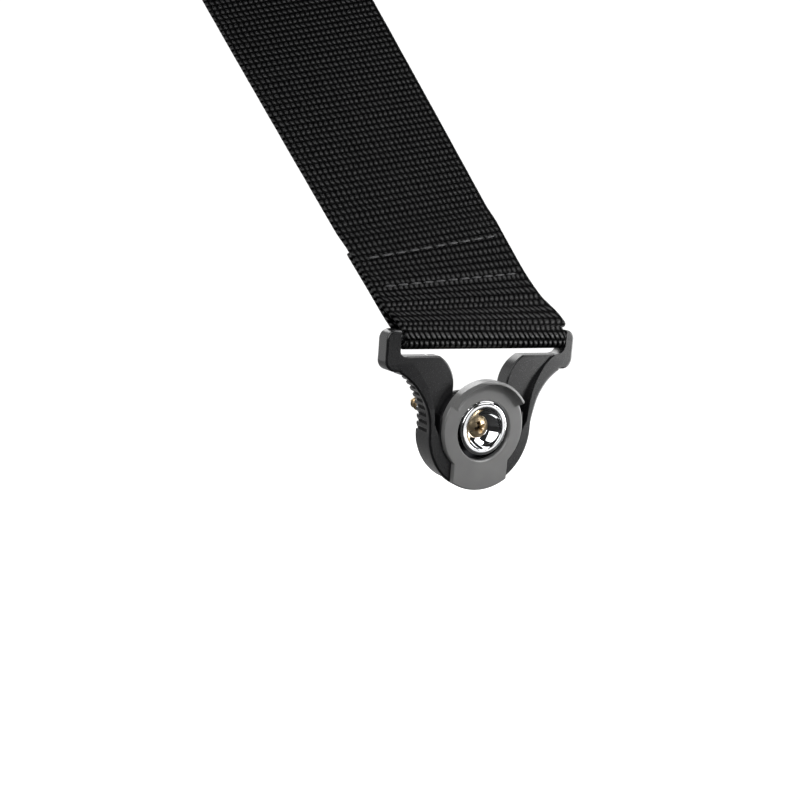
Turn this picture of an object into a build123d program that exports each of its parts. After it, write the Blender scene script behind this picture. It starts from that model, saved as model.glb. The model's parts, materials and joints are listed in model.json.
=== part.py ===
"""Self-locking strap end, clipped over a guitar's strap button.

A strap of 50 mm webbing is sewn round the steel bar of a Y-shaped nylon lock. A
spring-loaded thumb slide carries the head of the strap button between the wide entry
of a keyhole and its narrow neck slot. The far end of the webbing is sewn round a wire
ring, where the rest of the strap goes on.

Millimetres. The origin is on the button's axis, in the face of the guitar that the felt
washer sits on. +Y goes into the guitar, +Z is up towards the strap, +X is to the right
of someone who looks at the front of the lock. Heights are distances in front of the
guitar's face, towards -Y.
"""

import os
from math import acos, cos, radians, sin

from build123d import *

os.makedirs("parts", exist_ok=True)

# Heights in front of the guitar's face
washer_top = 1.5
hub_rear = 4.2
ear_rear = 6.4
cover_thickness = 1.4
bar_height = 8.5
floor_back = 9.85
floor_front = 11.05
arm_floor = 10.0
ear_front = 10.5
hub_front = 12.0
ramp_foot = -4.0
front_ramp_foot = 5.0
front_ramp_top = 16.0
slide_back = 11.2
slide_front = 13.0
lip_front = 14.6

# Outline of the lock, seen from the front
hub_radius = 15.15
hub_centre = -0.65
flank_centre_z = -0.3
flank_radius = 16.3
flank_end_x = 23.7
ear_outer = 27.7
left_ear_inner = 23.9
right_ear_inner = 25.2
ear_bottom = 14.35
ear_top = 24.4
ear_lower_round = 2.8
ear_upper_round = 2.4
ledge = 18.0
left_slot_round = 1.5
right_slot_round = 2.8
gap_half_width = 7.9
gap_corner = 10.5
gap_radius = 8.5
band_radius = 20.9
band_centre = (34.8, 1.5)
wall = 2.3
gap_wall = 0.8
cover_inset = 1.5
front_round = 0.5
floor_round = 0.4
fit_gap = 0.1

# Grip ribs on the flanks
rib_count = 10
rib_depth = 0.55
rib_first_angle = 182.4
rib_last_angle = 118.0
overhang = 0.5
overhang_height = 10.6
shoulder = 13.4

# Strap bar and its pockets in the ears
bar_radius = 1.25
bar_z = 22.3
bar_half_length = 26.1
pocket_start = 23.5

# Thumb slide, its carrier and its springs
travel = 5.5
disc_radius = 11.8
disc_hole = 7.6
hole_centre = (0.15, -0.55)
slide_clearance = 0.15
tongue_half_width = 8.15
lip_centre = (0.58, 0.0)
lip_outer = 12.3
lip_inner = 11.55
lip_hollow = 2.2
lip_round = 0.5
lip_fade_arc = 50.0
slide_round = 0.4
hole_bevel = 0.35
lip_first_angle = 32.0
lip_last_angle = 150.0
leg_x = 9.9
leg_width = 2.3
leg_bottom = -5.0
leg_top = -2.2
lug_front = 9.6
carrier_back = 6.9
carrier_front = 8.1
carrier_outer = 11.0
carrier_inner = 8.8
bridge_bottom = -8.2
bridge_top = -5.8
carrier_screw_z = -3.6
carrier_screw_radius = 0.55
spring_height = 8.15
spring_radius = 0.8
spring_wire = 0.13
spring_coils = 8
spring_seat = 10.6
spring_roof = 9.2
spring_pin_radius = 0.45
spring_pin_bottom = 4.2
spring_pin_top = 12.6
cavity_half_width = 12.2
cavity_top = 3.6

# Neck plate
plate_thickness = 0.95
plate_top = 3.2
plate_shoulder = -5.3
plate_bottom = -9.1
plate_narrow = 8.55
plate_wide = 10.4
neck_slot = 4.0
entry_radius = 7.45
rivet_places = [(8.6, -7.2), (-8.6, -7.2)]
rivet_radius = 0.7
rivet_tail_radius = 1.1
rivet_tail = 8.3

# Strap button, its screw and washer
head_radius = 6.7
neck_radius = 3.9
flange_radius = 6.2
flange_top = 2.7
neck_bottom = 4.6
neck_top = 10.0
rim_bottom = 12.3
head_top = 13.2
bore_radius = 2.15
bore_top = 9.65
seat_radius = 2.9
dish_radius = 5.35
screw_head_radius = 2.85
screw_head_top = 11.2
screw_neck_radius = 2.1
screw_radius = 1.9
screw_length = 20.0
screw_point = 24.0
washer_radius = 7.6
washer_hole = 2.3

# Screws that hold the lock together
boss_places = [(5.0, -11.0), (-5.0, -11.0)]
boss_radius = 1.7
arm_screw_places = [(15.6, 13.0), (-15.6, 13.0)]
cover_screw_radius = 0.8
cover_screw_head = 1.5
cover_screw_head_height = 0.8
head_depth = 0.9
hub_screw_tip = 10.0
arm_screw_tip = 9.3

# Webbing: where it runs, measured along it from the bar
webbing_width = 48.5
loop_width = 47.7
loop_shift = 0.6
webbing_thickness = 1.2
webbing_gap = 0.3
webbing_shift = 0.3
lean_left = 12.2
lean_back = 40.7
roll_at_bar = -2.5
roll_per_mm = 0.123
turn_end = 28.0
layers_meet = 11.0
lower_tail = 31.0
lower_single = 38.0
upper_single = 121.0
upper_tail = 128.0
layers_part = 143.0
ring_run = 153.0

# Ring at the far end of the webbing
ring_wire = 1.6
ring_inner_width = 51.8
ring_inner_height = 18.0
ring_round = 3.4

# Stitches in the two sewn ends of the webbing
stitch_length = 2.6
stitch_pitch = 3.8
stitch_width = 0.6
stitch_proud = 0.3
lower_rows = [17.0, 27.5]
upper_rows = [131.0, 141.0]


def level(height):
    """The plane parallel to the guitar's face at a height in front of it."""
    return Plane.XZ.offset(height)


def outer_outline(inset=0.0):
    """The lock's outline without the slot for the webbing and the gap between its arms."""
    flank_centre = hub_radius + flank_radius
    flank_end_z = flank_centre_z + (flank_radius**2 - (flank_centre - flank_end_x) ** 2) ** 0.5
    hub_turn = radians(-45)
    flank_turn = radians(147)
    with BuildSketch() as outline:
        with BuildLine():
            ThreePointArc(
                (0, hub_centre - hub_radius),
                (hub_radius * cos(hub_turn), hub_centre + hub_radius * sin(hub_turn)),
                (hub_radius, hub_centre),
            )
            Line((hub_radius, hub_centre), (hub_radius, flank_centre_z))
            ThreePointArc(
                (hub_radius, flank_centre_z),
                (
                    flank_centre + flank_radius * cos(flank_turn),
                    flank_centre_z + flank_radius * sin(flank_turn),
                ),
                (flank_end_x, flank_end_z),
            )
            Polyline(
                (flank_end_x, flank_end_z),
                (flank_end_x, ear_bottom),
                (ear_outer, ear_bottom),
                (ear_outer, ear_top),
                (0, ear_top),
                (0, hub_centre - hub_radius),
            )
        make_face()
        fillet(outline.vertices().group_by(Axis.X)[-1].sort_by(Axis.Y)[0], ear_lower_round)
        fillet(outline.vertices().group_by(Axis.Y)[-1].sort_by(Axis.X)[-1], ear_upper_round)
        mirror(about=Plane.YZ)
        if inset:
            offset(amount=-inset, mode=Mode.REPLACE)
    return outline.sketch


def webbing_slot():
    """The space between the ears, above the ledge, where the webbing goes round the bar."""
    with BuildSketch() as slot:
        with Locations((-left_ear_inner, ledge)):
            Rectangle(left_ear_inner + right_ear_inner, 20, align=(Align.MIN, Align.MIN))
        fillet(slot.vertices().group_by(Axis.Y)[0].sort_by(Axis.X)[0], left_slot_round)
        fillet(slot.vertices().group_by(Axis.Y)[0].sort_by(Axis.X)[-1], right_slot_round)
    return slot.sketch


def arm_gap(grow=0.0, bottom=0.0):
    """The gap between the arms, which narrows downwards from the ledge to a flat bottom."""
    half = gap_half_width + grow
    radius = gap_radius - grow
    centre_x = gap_half_width + gap_radius
    top = ledge + 0.2
    rise = min(top - gap_corner, radius - 0.01)
    top_x = centre_x - (radius**2 - rise**2) ** 0.5
    mid_angle = radians(150)
    with BuildSketch() as gap:
        with BuildLine():
            ThreePointArc(
                (half, gap_corner),
                (centre_x + radius * cos(mid_angle), gap_corner + radius * sin(mid_angle)),
                (top_x, gap_corner + rise),
            )
            Polyline(
                (top_x, gap_corner + rise),
                (top_x, top + 1),
                (0, top + 1),
                (0, bottom),
                (half, bottom),
                (half, gap_corner),
            )
        make_face()
        mirror(about=Plane.YZ)
    return gap.sketch


def cover_outline(gap=0.0):
    """The rear cover's outline: inset from the lock's, with a tab behind each end of the bar."""
    with BuildSketch() as outline:
        add(outer_outline(inset=cover_inset + gap))
        for side in (-1, 1):
            with Locations((side * (pocket_start + bar_half_length) / 2, bar_z)):
                Rectangle(bar_half_length - pocket_start + fit_gap, 2 * bar_radius)
        add(arm_gap(grow=gap_wall + gap, bottom=plate_top + fit_gap), mode=Mode.SUBTRACT)
        add(webbing_slot(), mode=Mode.SUBTRACT)
    return outline.sketch


def side_profile(rear_from=0.0, rear_to=None):
    """The lock seen from the side, with the height to the left.

    The rear is flat behind the hub and ramps forward to the ears, and the front is flat
    round the slide and ramps back to the ears. With rear_to, only a layer that follows
    the rear, from rear_from to rear_to in front of it."""
    low = hub_centre - hub_radius - 1
    high = ear_top + 1
    rear = [(hub_rear, low), (hub_rear, ramp_foot), (ear_rear, ledge), (ear_rear, high)]
    front = [(ear_front, high), (ear_front, front_ramp_top), (hub_front, front_ramp_foot), (hub_front, low)]
    if rear_to is not None:
        front = [(height + rear_to, z) for height, z in reversed(rear)]
    points = [(height + rear_from, z) for height, z in rear] + front
    with BuildSketch() as profile:
        with BuildLine():
            Polyline(*[(-height, z) for height, z in points], close=True)
        make_face()
    return profile.sketch


def keyhole(neck, entry):
    """A keyhole open at the top: a neck slot on the button's axis, with the entry above it."""
    with BuildSketch() as hole:
        Circle(neck)
        with Locations((0, travel / 2)):
            Rectangle(2 * neck, travel)
        with Locations((0, travel)):
            Circle(entry)
            Rectangle(2 * entry, 20, align=(Align.CENTER, Align.MIN))
    return hole.sketch


def slide_outline(clearance=0.0, rise=0.0):
    """The slide's disc and tongue. Rise carries the disc's full width upwards."""
    with BuildSketch() as outline:
        Circle(disc_radius + clearance)
        if rise:
            Rectangle(2 * (disc_radius + clearance), rise, align=(Align.CENTER, Align.MIN))
        with Locations((0, -8)):
            Rectangle(2 * (tongue_half_width + clearance), 10, align=(Align.CENTER, Align.MAX))
    return outline.sketch


def rib_notches():
    """The sawtooth notches of the right flank's grip, seen from the front."""
    pitch = (rib_last_angle - rib_first_angle) / rib_count
    tip = flank_radius + overhang - 0.3
    root = flank_radius + overhang + rib_depth
    with BuildSketch() as notches:
        with Locations((hub_radius + flank_radius, flank_centre_z)):
            for index in range(rib_count):
                angle = rib_first_angle + index * pitch
                corners = [(tip, angle), (root, angle + 0.12 * pitch), (tip, angle + 0.95 * pitch)]
                Polygon(
                    *[(radius * cos(radians(turn)), radius * sin(radians(turn))) for radius, turn in corners],
                    align=None,
                )
    return notches.sketch


def leg_rows(bottom, top, grow=0.0):
    """Two upright rectangles, one on each side, where the slide's legs go through."""
    with BuildSketch() as rows:
        with Locations((leg_x, (bottom + top) / 2), (-leg_x, (bottom + top) / 2)):
            Rectangle(leg_width + 2 * grow, top - bottom + 2 * grow)
    return rows.sketch


def screw(place, seat, tip, shank, head, head_height):
    """A pan-head screw that points towards the front, with a cross recess in its head."""
    with BuildPart() as fastener:
        with BuildSketch(level(seat)):
            with Locations(place):
                Circle(shank)
        extrude(amount=tip - seat)
        with BuildSketch(level(seat)):
            with Locations(place):
                Circle(head)
        extrude(amount=-head_height)
        with BuildSketch(level(seat - head_height)):
            with Locations(place):
                Rectangle(1.5 * head, 0.25 * head)
                Rectangle(0.25 * head, 1.5 * head)
        extrude(amount=0.6 * head_height, mode=Mode.SUBTRACT)
    return fastener.part


def rear_height(z):
    """The height of the lock's rear face."""
    share = min(max((z - ramp_foot) / (ledge - ramp_foot), 0), 1)
    return hub_rear + share * (ear_rear - hub_rear)


def rim_edges(piece):
    """The edges that go round the front of a piece: those that only one front face has."""
    fronts = piece.faces().filter_by(lambda face: face.normal_at().Y < -0.9)
    edges = [edge for face in fronts for edge in face.edges()]
    return [edge for edge in edges if sum(edge.is_same(other) for other in edges) == 1]


def is_arm_floor(face):
    """Whether a face is the recessed floor of one of the arms."""
    return face.normal_at().Y < -0.99 and abs(face.center().Y + arm_floor) < 0.01


def is_hole_rim(edge):
    """Whether an edge is the front edge of the slide's round hole."""
    return abs(edge.radius - disc_hole) < 0.01 and edge.center().Y < -slide_back - 0.1


def is_lip_corner(edge):
    """Whether an edge is the outer corner of the lip's right end."""
    corner = radians(lip_first_angle)
    x = lip_centre[0] + lip_outer * cos(corner)
    z = lip_centre[1] + lip_outer * sin(corner)
    middle = edge.center()
    return edge.geom_type == GeomType.LINE and abs(middle.X - x) < 0.05 and abs(middle.Z - z) < 0.05


def finish(piece, name):
    """Names a finished piece and writes its file."""
    piece.part.label = name
    export_step(piece.part, f"parts/{name}.step")


# Front shell: the nylon body of the lock. It has a raised band round the arms, the recess
# that the slide runs in, a cavity for the springs, the bar's pockets and ribbed flanks.
with BuildPart() as front_shell:
    with BuildSketch(level(hub_rear)):
        add(outer_outline())
    extrude(amount=hub_front - hub_rear)
    with BuildSketch(Plane.YZ):
        add(side_profile())
    extrude(amount=40, both=True, mode=Mode.INTERSECT)
    fillet(rim_edges(front_shell), front_round)
    with BuildSketch(level(hub_rear)):
        add(webbing_slot())
        add(arm_gap())
        Circle(gap_half_width)
    extrude(amount=hub_front - hub_rear, mode=Mode.SUBTRACT)
    # The flanks and the hub's side stand back under the band
    with BuildSketch(level(hub_rear)):
        with Locations((0, shoulder)):
            Rectangle(80, 40, align=(Align.CENTER, Align.MAX))
        add(outer_outline(inset=overhang), mode=Mode.SUBTRACT)
    extrude(amount=overhang_height - hub_rear, mode=Mode.SUBTRACT)
    # Grip ribs
    with BuildSketch(level(hub_rear)):
        add(rib_notches())
        mirror(rib_notches(), about=Plane.YZ)
    extrude(amount=overhang_height - hub_rear, mode=Mode.SUBTRACT)
    # The floor of the arms, inside the band, and the wedge it ends in beside the slide
    with BuildSketch(level(arm_floor)):
        with Locations((0, band_centre[1])):
            Rectangle(2 * band_centre[0], ledge + 1 - band_centre[1], align=(Align.CENTER, Align.MIN))
        with Locations(band_centre, (-band_centre[0], band_centre[1])):
            Circle(band_radius, mode=Mode.SUBTRACT)
        for side in (-1, 1):
            wedge = [(13.9, band_centre[1]), (disc_radius, -2.5), (disc_radius, band_centre[1])]
            Polygon(*[(side * x, z) for x, z in wedge], align=None)
        Circle(disc_radius - 0.3, mode=Mode.SUBTRACT)
        Rectangle(2 * (cavity_half_width + fit_gap), 2 * cavity_top, mode=Mode.SUBTRACT)
        add(webbing_slot(), mode=Mode.SUBTRACT)
    extrude(amount=5, mode=Mode.SUBTRACT)
    # The recess for the slide, with a slot for each of its legs
    with BuildSketch(level(floor_front)):
        add(slide_outline(slide_clearance, rise=ledge))
    extrude(amount=5, mode=Mode.SUBTRACT)
    with BuildSketch(level(hub_rear)):
        add(leg_rows(leg_bottom, leg_top + travel, grow=slide_clearance))
    extrude(amount=hub_front - hub_rear, mode=Mode.SUBTRACT)
    # The cavity behind the recess, with its two bosses
    with BuildSketch(level(hub_rear - 1)):
        add(outer_outline(inset=wall))
        with Locations((0, cavity_top)):
            Rectangle(80, 40, align=(Align.CENTER, Align.MIN), mode=Mode.SUBTRACT)
        for side in (-1, 1):
            with Locations((side * (cavity_half_width + 20), 0)):
                Rectangle(40, 60, mode=Mode.SUBTRACT)
        with Locations((0, plate_top + fit_gap)):
            arms_apart = 2 * (gap_half_width + gap_wall)
            Rectangle(arms_apart, 30, align=(Align.CENTER, Align.MIN), mode=Mode.SUBTRACT)
        with Locations(*boss_places):
            Circle(boss_radius, mode=Mode.SUBTRACT)
    extrude(amount=floor_back - hub_rear + 1, mode=Mode.SUBTRACT)
    # The springs' channels, with a hole at the top of each for its pin
    channel_width = cavity_half_width - gap_half_width - gap_wall
    channel_x = cavity_half_width - channel_width / 2
    with BuildSketch(level(hub_rear)):
        with Locations((channel_x, cavity_top - 0.5), (-channel_x, cavity_top - 0.5)):
            Rectangle(channel_width, spring_seat - cavity_top + 0.5, align=(Align.CENTER, Align.MIN))
    extrude(amount=spring_roof - hub_rear, mode=Mode.SUBTRACT)
    with BuildSketch(Plane.XY.offset(spring_seat)):
        with Locations((leg_x, -spring_height), (-leg_x, -spring_height)):
            Circle(spring_pin_radius)
    extrude(amount=spring_pin_top - spring_seat, mode=Mode.SUBTRACT)
    # The step that the cover sits on, flush with the rear
    with BuildPart(mode=Mode.PRIVATE) as cover_step:
        with BuildSketch(level(hub_rear - 1)):
            add(cover_outline())
        extrude(amount=10)
        with BuildSketch(Plane.YZ):
            add(side_profile(-2, cover_thickness))
        extrude(amount=40, both=True, mode=Mode.INTERSECT)
    add(cover_step.part, mode=Mode.SUBTRACT)
    # The bar's pockets, open towards the cover
    for side in (-1, 1):
        with BuildSketch(level(ear_rear)):
            with Locations((side * (pocket_start + bar_half_length + fit_gap) / 2, bar_z)):
                Rectangle(bar_half_length + fit_gap - pocket_start, 2 * bar_radius)
        extrude(amount=bar_height - ear_rear, mode=Mode.SUBTRACT)
    with BuildSketch(Plane.YZ):
        with Locations((-bar_height, bar_z)):
            Circle(bar_radius)
    extrude(amount=bar_half_length + fit_gap, both=True, mode=Mode.SUBTRACT)
    # Holes for the cover's screws and the neck plate's rivets
    for places, radius, depth in (
        (boss_places, cover_screw_radius, hub_screw_tip),
        (arm_screw_places, cover_screw_radius, arm_screw_tip),
        (rivet_places, rivet_radius, floor_front),
    ):
        with BuildSketch(level(hub_rear)):
            with Locations(*places):
                Circle(radius)
        extrude(amount=depth - hub_rear, mode=Mode.SUBTRACT)
    # The arms' floor is rounded where it meets the gap and the ledge
    floors = front_shell.faces().filter_by(is_arm_floor)
    floor_edges = [edge for face in floors for edge in face.edges()]
    fillet([edge for edge in floor_edges if edge.center().Z > gap_corner + 3], floor_round)
finish(front_shell, "front_shell")

# Rear cover: closes the back, and holds the bar in its pockets
with BuildPart() as rear_cover:
    with BuildSketch(level(hub_rear)):
        add(cover_outline(gap=fit_gap))
        add(keyhole(neck_slot + 0.6, entry_radius + 0.15), mode=Mode.SUBTRACT)
    extrude(amount=10)
    with BuildSketch(Plane.YZ):
        add(side_profile(0, cover_thickness))
    extrude(amount=40, both=True, mode=Mode.INTERSECT)
    with BuildSketch(Plane.YZ):
        with Locations((-bar_height, bar_z)):
            Circle(bar_radius)
    extrude(amount=bar_half_length + fit_gap, both=True, mode=Mode.SUBTRACT)
    for place in boss_places + arm_screw_places:
        with BuildSketch(level(hub_rear - 1)):
            with Locations(place):
                Circle(cover_screw_radius)
        extrude(amount=10, mode=Mode.SUBTRACT)
        with BuildSketch(level(rear_height(place[1]) + head_depth)):
            with Locations(place):
                Circle(cover_screw_head + fit_gap)
        extrude(amount=-10, mode=Mode.SUBTRACT)
finish(rear_cover, "rear_cover")

# Screws of the rear cover
with BuildPart() as hub_screws:
    for place in boss_places:
        seat = rear_height(place[1]) + head_depth
        add(screw(place, seat, hub_screw_tip, cover_screw_radius, cover_screw_head, cover_screw_head_height))
finish(hub_screws, "hub_screws")

with BuildPart() as arm_screws:
    for place in arm_screw_places:
        seat = rear_height(place[1]) + head_depth
        add(screw(place, seat, arm_screw_tip, cover_screw_radius, cover_screw_head, cover_screw_head_height))
finish(arm_screws, "arm_screws")

# Strap bar between the ears
with BuildPart() as strap_bar:
    with BuildSketch(Plane.YZ):
        with Locations((-bar_height, bar_z)):
            Circle(bar_radius)
    extrude(amount=bar_half_length, both=True)
    chamfer(strap_bar.edges().filter_by(GeomType.CIRCLE), 0.3)
finish(strap_bar, "strap_bar")

# Neck plate: its slot holds the button behind the head
with BuildPart() as neck_plate:
    with BuildSketch(level(floor_back - plate_thickness)) as plate_face:
        with Locations((0, plate_bottom)):
            Rectangle(2 * plate_wide, plate_shoulder - plate_bottom, align=(Align.CENTER, Align.MIN))
        fillet(plate_face.vertices().group_by(Axis.Y)[0], 3.0)
        with Locations((0, plate_shoulder)):
            Rectangle(2 * plate_narrow, plate_top - plate_shoulder, align=(Align.CENTER, Align.MIN))
        add(keyhole(neck_slot, entry_radius), mode=Mode.SUBTRACT)
        with Locations(*rivet_places):
            Circle(rivet_radius, mode=Mode.SUBTRACT)
    extrude(amount=plate_thickness)
finish(neck_plate, "neck_plate")

# Rivets of the neck plate
with BuildPart() as plate_rivets:
    with BuildSketch(level(rivet_tail)):
        with Locations(*rivet_places):
            Circle(rivet_radius)
    extrude(amount=floor_front - rivet_tail)
    with BuildSketch(level(rivet_tail)):
        with Locations(*rivet_places):
            Circle(rivet_tail_radius)
    extrude(amount=floor_back - plate_thickness - rivet_tail)
finish(plate_rivets, "plate_rivets")

# Guide pins inside the springs
with BuildPart() as spring_pins:
    with BuildSketch(Plane.XY.offset(spring_pin_bottom)):
        with Locations((leg_x, -spring_height), (-leg_x, -spring_height)):
            Circle(spring_pin_radius)
    extrude(amount=spring_pin_top - spring_pin_bottom)
finish(spring_pins, "spring_pins")

# Return springs between the slide's carrier and the shell
for name, side in (("left_spring", -1), ("right_spring", 1)):
    coil_length = spring_seat - leg_top - 2 * spring_wire
    with BuildPart() as spring:
        with BuildLine(Plane.XY.offset(leg_top + spring_wire)) as coil:
            centre = (side * leg_x, -spring_height, 0)
            Helix(coil_length / spring_coils, coil_length, spring_radius, center=centre)
        with BuildSketch(Plane(origin=coil.line @ 0, z_dir=coil.line % 0)):
            Circle(spring_wire)
        sweep()
    finish(spring, name)

# Thumb slide: a ring round the button's head, with a crescent lip and a tongue
with BuildPart() as thumb_slide:
    with BuildSketch(level(slide_back)):
        add(slide_outline())
        add(outer_outline(), mode=Mode.INTERSECT)
    extrude(amount=slide_front - slide_back)
    fillet(rim_edges(thumb_slide), slide_round)
    lip_turn = radians(lip_first_angle)
    lip_plane = Plane(
        origin=(lip_centre[0], 0, lip_centre[1]),
        x_dir=(cos(lip_turn), 0, sin(lip_turn)),
        z_dir=(sin(lip_turn), 0, -cos(lip_turn)),
    )
    with BuildSketch(lip_plane):
        with BuildLine():
            rise = acos(1 - (lip_front - slide_front) / lip_hollow)
            foot = lip_inner - lip_hollow * sin(rise)
            hollow = (foot + lip_hollow * sin(rise / 2), slide_front + lip_hollow * (1 - cos(rise / 2)))
            ThreePointArc((foot, slide_front), hollow, (lip_inner, lip_front))
            Line((lip_inner, lip_front), (lip_outer - lip_round, lip_front))
            RadiusArc((lip_outer - lip_round, lip_front), (lip_outer, lip_front - lip_round), lip_round)
            Polyline(
                (lip_outer, lip_front - lip_round),
                (lip_outer, slide_back),
                (foot, slide_back),
                (foot, slide_front),
            )
        make_face()
    lip_axis = Axis((lip_centre[0], 0, lip_centre[1]), (0, -1, 0))
    revolve(axis=lip_axis, revolution_arc=lip_last_angle - lip_first_angle)
    # The lip is rounded off at its right end, and fades into the disc at its left end
    fillet(thumb_slide.edges().filter_by(is_lip_corner), lip_round)
    fade_end = radians(lip_last_angle)
    fade_middle = radians(lip_last_angle - lip_fade_arc / 2)
    fade_length = 2 * lip_outer * sin(fade_end - fade_middle)
    fade_plane = Plane(
        origin=(lip_centre[0] + lip_outer * cos(fade_end), 0, lip_centre[1] + lip_outer * sin(fade_end)),
        x_dir=(sin(fade_middle), 0, -cos(fade_middle)),
        z_dir=(-cos(fade_middle), 0, -sin(fade_middle)),
    )
    with BuildSketch(fade_plane):
        Polygon(
            (0, slide_front),
            (fade_length, lip_front),
            (fade_length, lip_front + 5),
            (-10, lip_front + 5),
            (-10, slide_front),
            align=None,
        )
    extrude(amount=6, both=True, mode=Mode.SUBTRACT)
    with BuildSketch(level(slide_back)):
        with Locations(hole_centre):
            Circle(disc_hole)
    extrude(amount=10, mode=Mode.SUBTRACT)
    chamfer(thumb_slide.edges().filter_by(GeomType.CIRCLE).filter_by(is_hole_rim), hole_bevel)
    with BuildSketch(level(slide_back)):
        add(leg_rows(leg_bottom, leg_top))
    extrude(amount=lug_front - slide_back)
    with BuildSketch(level(lug_front)):
        with Locations((leg_x, carrier_screw_z), (-leg_x, carrier_screw_z)):
            Circle(carrier_screw_radius)
    extrude(amount=slide_front - 1 - lug_front, mode=Mode.SUBTRACT)
finish(thumb_slide, "thumb_slide")

# Slide carrier: a U behind the neck plate, which the springs press on
with BuildPart() as slide_carrier:
    with BuildSketch(level(carrier_back)) as carrier_face:
        with Locations((0, bridge_bottom)):
            Rectangle(2 * carrier_outer, leg_top - bridge_bottom, align=(Align.CENTER, Align.MIN))
        fillet(carrier_face.vertices().group_by(Axis.Y)[0], 3.0)
        with Locations((0, bridge_top)):
            Rectangle(2 * carrier_inner, 10, align=(Align.CENTER, Align.MIN), mode=Mode.SUBTRACT)
    extrude(amount=carrier_front - carrier_back)
    with BuildSketch(level(carrier_front)):
        with Locations((leg_x, (leg_bottom + leg_top) / 2), (-leg_x, (leg_bottom + leg_top) / 2)):
            Rectangle(2 * (carrier_outer - leg_x), leg_top - leg_bottom)
    extrude(amount=lug_front - carrier_front)
    for side in (-1, 1):
        with BuildSketch(level(carrier_back)):
            with Locations((side * leg_x, carrier_screw_z)):
                Circle(carrier_screw_radius)
        extrude(amount=lug_front - carrier_back, mode=Mode.SUBTRACT)
        with BuildSketch(level(carrier_back)):
            with Locations((side * leg_x, carrier_screw_z)):
                Circle(2 * carrier_screw_radius)
        extrude(amount=0.5, mode=Mode.SUBTRACT)
finish(slide_carrier, "slide_carrier")

# Screws that join the carrier to the slide's legs
with BuildPart() as carrier_screws:
    for side in (-1, 1):
        add(screw(
            (side * leg_x, carrier_screw_z), carrier_back + 0.5, slide_front - 1.2,
            carrier_screw_radius, 1.9 * carrier_screw_radius, 0.6,
        ))
finish(carrier_screws, "carrier_screws")

# Strap button: a flange on the washer, a neck, and a dished head
with BuildPart() as strap_button:
    with BuildSketch(Plane.XY):
        with BuildLine():
            Polyline(
                (bore_radius, -washer_top),
                (flange_radius, -washer_top),
                (flange_radius, -flange_top + 0.5),
            )
            ThreePointArc(
                (flange_radius, -flange_top + 0.5),
                (flange_radius - 0.15, -flange_top + 0.15),
                (flange_radius - 0.5, -flange_top),
            )
            ThreePointArc(
                (flange_radius - 0.5, -flange_top),
                (neck_radius + 0.5, -flange_top - 0.6),
                (neck_radius, -neck_bottom),
            )
            Line((neck_radius, -neck_bottom), (neck_radius, -neck_top))
            ThreePointArc(
                (neck_radius, -neck_top),
                ((neck_radius + head_radius) / 2 - 0.22, -(neck_top + rim_bottom) / 2 - 0.28),
                (head_radius, -rim_bottom),
            )
            Line((head_radius, -rim_bottom), (head_radius, -head_top + 0.3))
            ThreePointArc(
                (head_radius, -head_top + 0.3),
                (head_radius - 0.09, -head_top + 0.09),
                (head_radius - 0.3, -head_top),
            )
            Line((head_radius - 0.3, -head_top), (dish_radius, -head_top))
            seat_top = bore_top + seat_radius - bore_radius
            ThreePointArc(
                (dish_radius, -head_top),
                ((dish_radius + seat_radius) / 2 + 0.2, -(head_top + seat_top) / 2 + 0.25),
                (seat_radius, -seat_top),
            )
            Polyline(
                (seat_radius, -seat_top),
                (bore_radius, -bore_top),
                (bore_radius, -washer_top),
            )
        make_face()
    revolve(axis=Axis.Y)
finish(strap_button, "strap_button")

# Wood screw with an oval head and a cross recess
with BuildPart() as button_screw:
    head_edge = bore_top + screw_head_radius - bore_radius
    with BuildSketch(Plane.XY):
        with BuildLine():
            ThreePointArc(
                (0, -screw_head_top),
                (0.55 * screw_head_radius, -screw_head_top + 0.3 * (screw_head_top - head_edge)),
                (screw_head_radius, -head_edge),
            )
            Polyline(
                (screw_head_radius, -head_edge),
                (screw_neck_radius, -head_edge + screw_head_radius - screw_neck_radius),
                (screw_neck_radius, 0),
                (screw_radius, 0),
                (screw_radius, screw_length),
                (0, screw_point),
                (0, -screw_head_top),
            )
        make_face()
    revolve(axis=Axis.Y)
    with BuildSketch(level(screw_head_top)):
        Rectangle(3.3, 0.75, rotation=20)
        Rectangle(0.75, 3.3, rotation=20)
    extrude(amount=-1.3, taper=8, mode=Mode.SUBTRACT)
finish(button_screw, "button_screw")

# Felt washer between the button and the guitar
with BuildPart() as felt_washer:
    with BuildSketch(level(0)):
        Circle(washer_radius)
        Circle(washer_hole, mode=Mode.SUBTRACT)
    extrude(amount=washer_top)
finish(felt_washer, "felt_washer")

# Webbing
bar_centre = Vector(webbing_shift, -bar_height, bar_z)
run = Vector(
    -sin(radians(lean_left)),
    cos(radians(lean_left)) * sin(radians(lean_back)),
    cos(radians(lean_left)) * cos(radians(lean_back)),
)


def width_direction(along):
    """The direction across the webbing: along the bar at the bar, then rolling with the run."""
    level_width = (Vector(1, 0, 0) - run * run.X).normalized()
    roll = radians(roll_at_bar + roll_per_mm * along)
    rolled = level_width * cos(roll) + level_width.cross(run) * sin(roll)
    share = min(along / turn_end, 1)
    return (Vector(1, 0, 0) * (1 - share) + rolled * share).normalized()


def section(along, back=0.0):
    """The plane of the webbing's section: x across it, y towards its back."""
    across = width_direction(along)
    backward = run.cross(across).normalized()
    origin = bar_centre + run * along + backward * back
    return Plane(origin=origin, x_dir=across, z_dir=across.cross(backward))


layer = webbing_thickness / 2
lower_loop = bar_radius + webbing_gap + layer
upper_loop = ring_wire + webbing_gap + layer

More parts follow.
